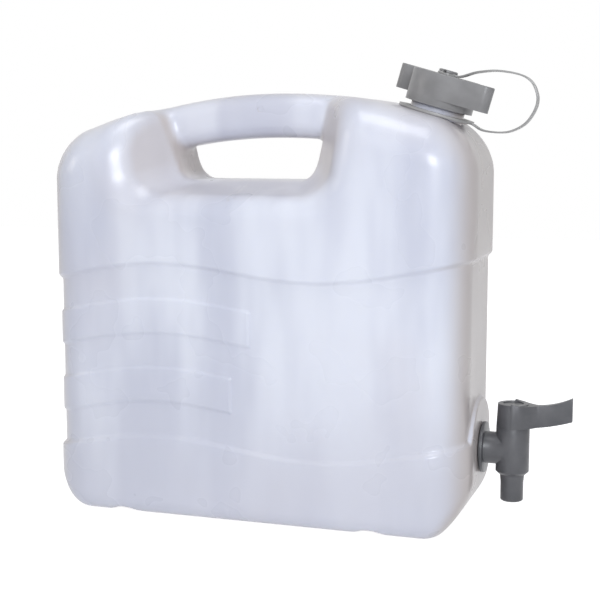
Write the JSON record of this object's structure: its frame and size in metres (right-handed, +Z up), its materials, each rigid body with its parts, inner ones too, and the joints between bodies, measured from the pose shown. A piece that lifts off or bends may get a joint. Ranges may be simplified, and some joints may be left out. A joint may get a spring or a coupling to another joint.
{
  "type": "jerrycan",
  "caption": "Upright plastic jerrycan with a moulded carrying handle, a winged screw cap on a strap and a lever tap with a hose nozzle low on one end.",
  "frame": {"origin": "middle of the base, on the surface the can stands on", "axes": "+Z up, +X along the can towards the tap, +Y across the can away from the side the picture shows"},
  "size_m": [0.4202, 0.1332, 0.364],
  "materials": {
    "can": "milky polyethylene, semi-gloss",
    "grey_plastic": "satin moulded plastic",
    "seal": "soft pale foam liner",
    "rubber": "black rubber"
  },
  "bodies": {
    "can": {"can_body": "can", "cap_strap": "grey_plastic", "tap_body": "grey_plastic", "tap_gasket": "rubber", "tap_nut": "grey_plastic"},
    "liner": {"cap_seal": "seal"},
    "cap": {"filler_cap": "grey_plastic"},
    "lever": {"tap_lever": "grey_plastic", "plug_ring_upper": "rubber", "plug_ring_lower": "rubber"}
  },
  "joints": [
    {"name": "cap_lift", "type": "slide", "parent": "can", "child": "liner", "axis": [0.2756, 0, 0.9613], "range_m": [0, 0.0241], "deforming": ["cap_strap"]},
    {"name": "cap_turn", "type": "hinge", "parent": "liner", "child": "cap", "pos_m": [0.135, 0, 0.32237], "axis": [0.2756, 0, 0.9613], "range_deg": [0, 1440]},
    {"name": "tap_turn", "type": "hinge", "parent": "can", "child": "lever", "pos_m": [0.1996, 0, 0.0624], "axis": [0, 0, 1], "range_deg": [-90, 90]}
  ],
  "couplings": [
    {"joint": "cap_lift", "follows": "cap_turn", "m_per_rad": 0.00095493}
  ]
}
